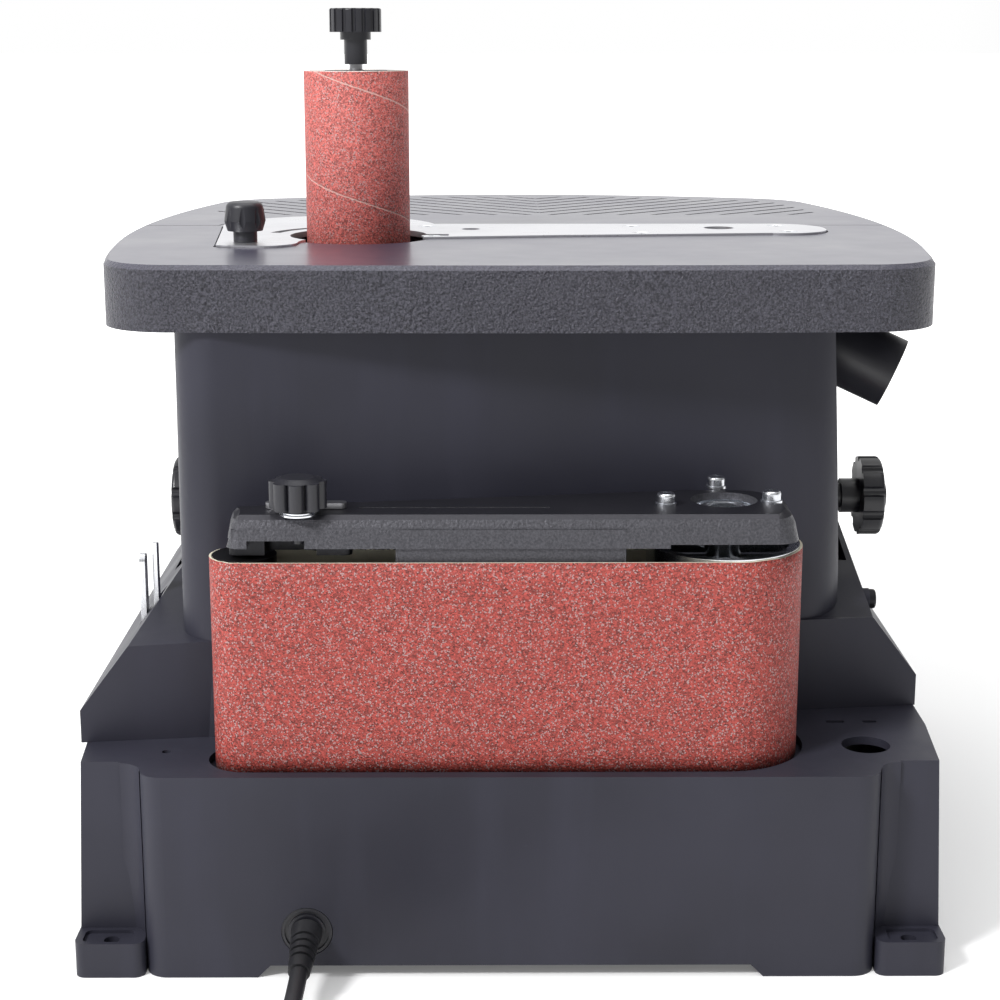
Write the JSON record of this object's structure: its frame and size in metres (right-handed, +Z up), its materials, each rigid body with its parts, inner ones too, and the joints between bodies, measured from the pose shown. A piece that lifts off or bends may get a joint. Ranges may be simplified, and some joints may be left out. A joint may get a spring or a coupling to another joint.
{
  "type": "oscillating belt and spindle sander",
  "caption": "Bench-top oscillating sander with an upright sanding spindle, a two-part tilting table and a belt-sanding arm stored upright in a ledge of its base.",
  "frame": {"origin": "centre of the four bench-mounting holes, on the plane of the feet", "axes": "+Z up, +Y from the cord side to the operator, +X to the right seen from the cord side"},
  "size_m": [0.4198, 0.6845, 0.4418],
  "materials": {
    "housing_plastic": "moulded, fine-grained dark blue-grey",
    "table_paint": "textured dark grey paint",
    "insert_steel": "ground plate",
    "arm_paint": "textured black paint over a casting",
    "knob_plastic": "satin black",
    "fastener_zinc": "bright zinc",
    "tool_steel": "plated",
    "abrasive": "red-brown aluminium oxide grain on cloth",
    "drum_rubber": "black rubber",
    "roller_rubber": "black rubber",
    "steel": "machined",
    "motor_paint": "grey",
    "bronze": "sintered",
    "inner_plastic": "natural nylon",
    "belt_rubber": "black",
    "foot_rubber": "black",
    "on_green": "green",
    "off_red": "red",
    "switch_black": "black",
    "cord_pvc": "black"
  },
  "bodies": {
    "housing": {"base_housing": "housing_plastic", "bottom_cover": "motor_paint", "rubber_feet": "foot_rubber", "body_housing": "housing_plastic", "rear_table": "table_paint", "table_insert": "insert_steel", "insert_screws": "fastener_zinc", "hinge_pin_left": "steel", "hinge_pin_right": "steel", "tilt_lock_studs": "steel", "motor_case": "motor_paint", "motor_bearings": "steel", "motor_stator": "steel", "spindle_bracket": "arm_paint", "spindle_bushes": "bronze", "drive_belt": "belt_rubber", "dust_port": "knob_plastic", "switch_box": "switch_black", "body_screws": "fastener_zinc", "cord_gland": "knob_plastic", "strain_relief": "cord_pvc", "cord": "cord_pvc", "cord_coil": "cord_pvc", "cord_tail": "cord_pvc", "mains_plug": "knob_plastic"},
    "arm_lock": {"arm_lock_knob": "knob_plastic"},
    "tilting_table": {"front_table": "table_paint", "tilt_quadrant_left": "steel", "tilt_quadrant_right": "steel"},
    "left_tilt_knob": {"tilt_lock_knob_left": "knob_plastic"},
    "right_tilt_knob": {"tilt_lock_knob_right": "knob_plastic"},
    "motor": {"motor_rotor": "steel", "motor_fan": "inner_plastic", "motor_pulley": "steel"},
    "spindle_drive": {"spindle_pulley": "steel"},
    "lift_gear": {"lift_wheel": "inner_plastic"},
    "lift": {"lift_yoke": "steel"},
    "spindle": {"spindle_shaft": "steel", "rubber_drum": "drum_rubber", "sanding_sleeve": "abrasive", "drum_washer": "fastener_zinc"},
    "drum_nut": {"drum_knob": "knob_plastic"},
    "on_switch": {"on_button": "on_green"},
    "off_switch": {"off_button": "off_red"},
    "arm": {"belt_arm": "arm_paint", "arm_screws": "fastener_zinc", "arm_bearing": "steel", "tension_spring": "steel", "tracking_washers": "fastener_zinc", "platen": "insert_steel", "sanding_belt": "abrasive"},
    "roller": {"drive_roller": "roller_rubber"},
    "carriage": {"idler_carriage": "steel", "idler_axle": "steel", "spring_guide": "steel"},
    "idler": {"idler_roller": "steel"},
    "lever": {"tension_lever": "steel"},
    "tracking": {"tracking_knob": "knob_plastic"},
    "key": {"hex_key": "tool_steel"},
    "wrench": {"spanner": "tool_steel"}
  },
  "joints": [
    {"name": "arm_lock_turn", "type": "hinge", "parent": "housing", "child": "arm_lock", "pos_m": [-0.1327, -0.0484, 0.33], "axis": [0, 0, 1], "range_deg": [0, 360]},
    {"name": "table_tilt", "type": "hinge", "parent": "housing", "child": "tilting_table", "pos_m": [0, 0.048, 0.309], "axis": [-1, 0, 0], "range_deg": [0, 45]},
    {"name": "left_tilt_knob_turn", "type": "hinge", "parent": "housing", "child": "left_tilt_knob", "pos_m": [-0.2, 0.032, 0.1765], "axis": [-1, 0, 0], "range_deg": [0, 360]},
    {"name": "right_tilt_knob_turn", "type": "hinge", "parent": "housing", "child": "right_tilt_knob", "pos_m": [0.2, 0.032, 0.1765], "axis": [1, 0, 0], "range_deg": [0, 360]},
    {"name": "motor_spin", "type": "hinge", "parent": "housing", "child": "motor", "pos_m": [0.062, -0.015, 0.18], "axis": [0, 0, 1], "continuous": true},
    {"name": "pulley_spin", "type": "hinge", "parent": "housing", "child": "spindle_drive", "pos_m": [-0.0777, -0.015, 0.12], "axis": [0, 0, 1], "continuous": true},
    {"name": "lift_gear_turn", "type": "hinge", "parent": "housing", "child": "lift_gear", "pos_m": [-0.0777, -0.0412, 0.162], "axis": [1, 0, 0], "continuous": true},
    {"name": "oscillation", "type": "slide", "parent": "housing", "child": "lift", "axis": [0, 0, 1], "range_m": [0, 0.024]},
    {"name": "spindle_spin", "type": "hinge", "parent": "lift", "child": "spindle", "pos_m": [-0.0777, -0.015, 0.3], "axis": [0, 0, 1], "continuous": true},
    {"name": "drum_knob_turn", "type": "hinge", "parent": "spindle", "child": "drum_nut", "pos_m": [-0.0777, -0.015, 0.43], "axis": [0, 0, 1], "range_deg": [0, 360]},
    {"name": "on_button_press", "type": "slide", "parent": "housing", "child": "on_switch", "axis": [0, -1, 0], "range_m": [0, 0.004], "stiffness_N_per_m": 400},
    {"name": "off_button_press", "type": "slide", "parent": "housing", "child": "off_switch", "axis": [0, -1, 0], "range_m": [0, 0.004], "stiffness_N_per_m": 400},
    {"name": "arm_lift", "type": "slide", "parent": "housing", "child": "arm", "axis": [0, 0, 1], "range_m": [0, 0.065]},
    {"name": "drive_roller_spin", "type": "hinge", "parent": "arm", "child": "roller", "pos_m": [0.0995, -0.156, 0.15], "axis": [0, 0, 1], "continuous": true},
    {"name": "idler_slide", "type": "slide", "parent": "arm", "child": "carriage", "axis": [1, 0, 0], "range_m": [0, 0.01], "deforming": ["tension_spring"]},
    {"name": "idler_spin", "type": "hinge", "parent": "carriage", "child": "idler", "pos_m": [-0.1218, -0.177, 0.15], "axis": [0, 0, 1], "continuous": true},
    {"name": "tension_lever_turn", "type": "hinge", "parent": "arm", "child": "lever", "pos_m": [-0.108, -0.172, 0.22], "axis": [0, 0, 1], "range_deg": [0, 50]},
    {"name": "tracking_turn", "type": "hinge", "parent": "arm", "child": "tracking", "pos_m": [-0.096, -0.184, 0.225], "axis": [0, 0, 1], "range_deg": [-180, 180]},
    {"name": "hex_key_lift", "type": "slide", "parent": "housing", "child": "key", "axis": [0, 0, 1], "range_m": [0, 0.07]},
    {"name": "spanner_lift", "type": "slide", "parent": "housing", "child": "wrench", "axis": [0, 0, 1], "range_m": [0, 0.07]}
  ],
  "couplings": [
    {"joint": "pulley_spin", "follows": "motor_spin", "ratio": 0.33333},
    {"joint": "spindle_spin", "follows": "motor_spin", "ratio": 0.33333},
    {"joint": "lift_gear_turn", "follows": "motor_spin", "ratio": 0.013889},
    {"joint": "idler_spin", "follows": "drive_roller_spin", "ratio": 2.4},
    {"joint": "tension_lever_turn", "follows": "idler_slide", "rad_per_m": 87.266}
  ]
}
